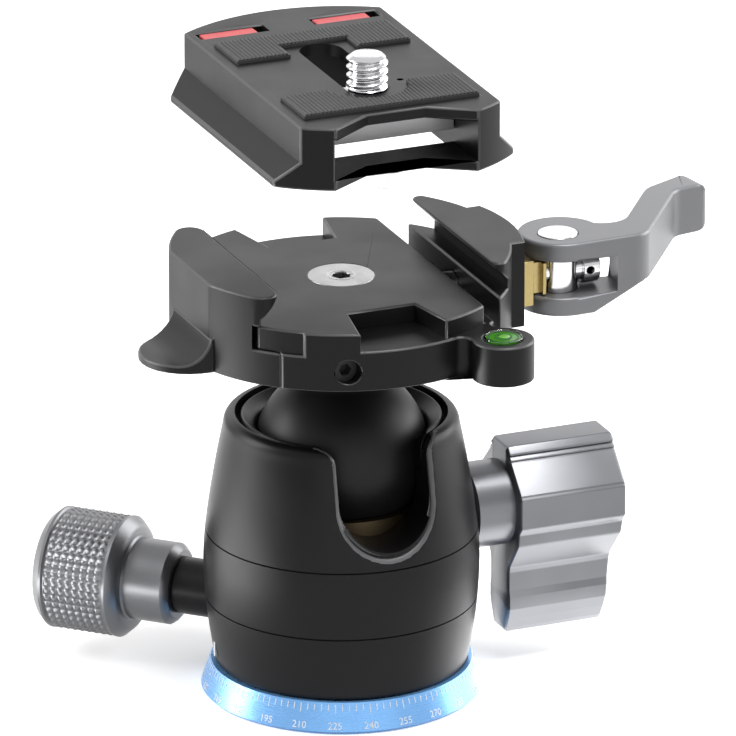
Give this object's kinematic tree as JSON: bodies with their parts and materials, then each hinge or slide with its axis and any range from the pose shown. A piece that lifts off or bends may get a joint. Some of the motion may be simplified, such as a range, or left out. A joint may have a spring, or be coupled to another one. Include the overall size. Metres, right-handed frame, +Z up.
{
  "type": "tripod ball head",
  "caption": "Ball head with a panning base, a drop notch, a wing lock knob, a knurled pan lock, and a lever clamp with its dovetail camera plate.",
  "frame": {"origin": "centre of the base's underside, on the panning axis", "axes": "+Z up along the panning axis, +X towards the main lock knob and the clamp lever, -Y towards the drop notch; plates slide through the clamp along Y"},
  "size_m": [0.1033, 0.0705, 0.1027],
  "materials": {
    "black_anodised": "satin",
    "grey_anodised": "satin",
    "blue_anodised": "satin",
    "ball_coat": "polished",
    "steel": "machined",
    "chrome": "polished",
    "brass": "machined",
    "bearing_polymer": "matte",
    "pad_rubber": "ribbed",
    "red_rubber": "matte",
    "white_paint": "printed",
    "level_glass": "clear",
    "level_green": "clear"
  },
  "bodies": {
    "base": {"base_plate": "black_anodised", "degree_ring": "blue_anodised", "tripod_insert": "steel", "base_screws": "steel", "pan_spindle": "steel", "thrust_washer": "bearing_polymer", "retaining_washer": "steel", "pan_nut": "steel"},
    "housing": {"housing": "black_anodised", "index_mark": "white_paint", "pan_bushing": "brass", "ball_retaining_ring": "black_anodised", "main_bushing": "brass", "pan_boss": "black_anodised"},
    "main_knob": {"main_knob": "grey_anodised", "main_shaft": "steel", "knob_grub_screw": "steel"},
    "wedge": {"pressure_wedge": "steel"},
    "cup": {"lower_cup": "brass"},
    "pan_knob": {"pan_knob": "grey_anodised", "pan_shaft": "steel"},
    "shoe": {"brake_shoe": "brass"},
    "ball": {"ball": "ball_coat"},
    "clamp": {"clamp_body": "black_anodised", "fixed_jaw": "black_anodised", "fixed_jaw_screws": "steel", "centre_screw": "steel", "level_vial": "level_glass", "level_fluid": "level_green", "stop_screw": "steel", "guide_pins": "steel", "jaw_springs": "steel", "draw_bolt": "chrome", "lever_pin": "chrome"},
    "jaw": {"movable_jaw": "black_anodised", "cam_saddle": "brass"},
    "lever": {"clamp_lever": "grey_anodised"},
    "plate": {"plate_body": "black_anodised", "front_pad": "pad_rubber", "rear_pad": "pad_rubber", "strap_inserts": "red_rubber", "plate_stop_pins": "chrome"},
    "screw_slide": {"slide_block": "steel"},
    "camera_screw": {"camera_screw": "chrome"}
  },
  "joints": [
    {"name": "pan_turn", "type": "hinge", "parent": "base", "child": "housing", "pos_m": [0, 0, 0.01], "axis": [0, 0, 1], "continuous": true},
    {"name": "main_knob_turn", "type": "hinge", "parent": "housing", "child": "main_knob", "pos_m": [0.0255, 0, 0.0254], "axis": [-1, 0, 0], "range_deg": [0, 180]},
    {"name": "wedge_draw", "type": "slide", "parent": "housing", "child": "wedge", "axis": [1, 0, 0], "range_m": [0, 0.0005]},
    {"name": "cup_lift", "type": "slide", "parent": "housing", "child": "cup", "axis": [0, 0, 1], "range_m": [0, 0.00025]},
    {"name": "pan_knob_turn", "type": "hinge", "parent": "housing", "child": "pan_knob", "pos_m": [-0.02333, 0.02333, 0.0119], "axis": [0.7071, -0.7071, 0], "range_deg": [0, 120]},
    {"name": "shoe_press", "type": "slide", "parent": "housing", "child": "shoe", "axis": [0.7071, -0.7071, 0], "range_m": [0, 0.00024]},
    {"name": "ball_tilt", "type": "hinge", "parent": "housing", "child": "ball", "pos_m": [0, 0, 0.0375], "axis": [1, 0, 0], "range_deg": [-40, 80]},
    {"name": "clamp_turn", "type": "hinge", "parent": "ball", "child": "clamp", "pos_m": [0, 0, 0.056], "axis": [0, 0, 1], "continuous": true},
    {"name": "lever_swing", "type": "hinge", "parent": "clamp", "child": "lever", "pos_m": [0.0348, 0, 0.0608], "axis": [0, 0, 1], "range_deg": [0, 90]},
    {"name": "jaw_close", "type": "slide", "parent": "clamp", "child": "jaw", "axis": [-1, 0, 0], "range_m": [0, 0.0015]},
    {"name": "plate_seat", "type": "slide", "parent": "clamp", "child": "plate", "axis": [0, 0, -1], "range_m": [0, 0.0181]},
    {"name": "screw_slot", "type": "slide", "parent": "plate", "child": "screw_slide", "axis": [0, 1, 0], "range_m": [0, 0.0175]},
    {"name": "screw_turn", "type": "hinge", "parent": "screw_slide", "child": "camera_screw", "pos_m": [0, -0.01, 0.095], "axis": [0, 0, 1], "continuous": true}
  ],
  "couplings": [
    {"joint": "wedge_draw", "follows": "main_knob_turn", "m_per_rad": 0.00015915},
    {"joint": "cup_lift", "follows": "main_knob_turn", "m_per_rad": 0.000079577},
    {"joint": "shoe_press", "follows": "pan_knob_turn", "m_per_rad": 0.00011141},
    {"joint": "jaw_close", "follows": "lever_swing", "m_per_rad": 0.00095493}
  ]
}
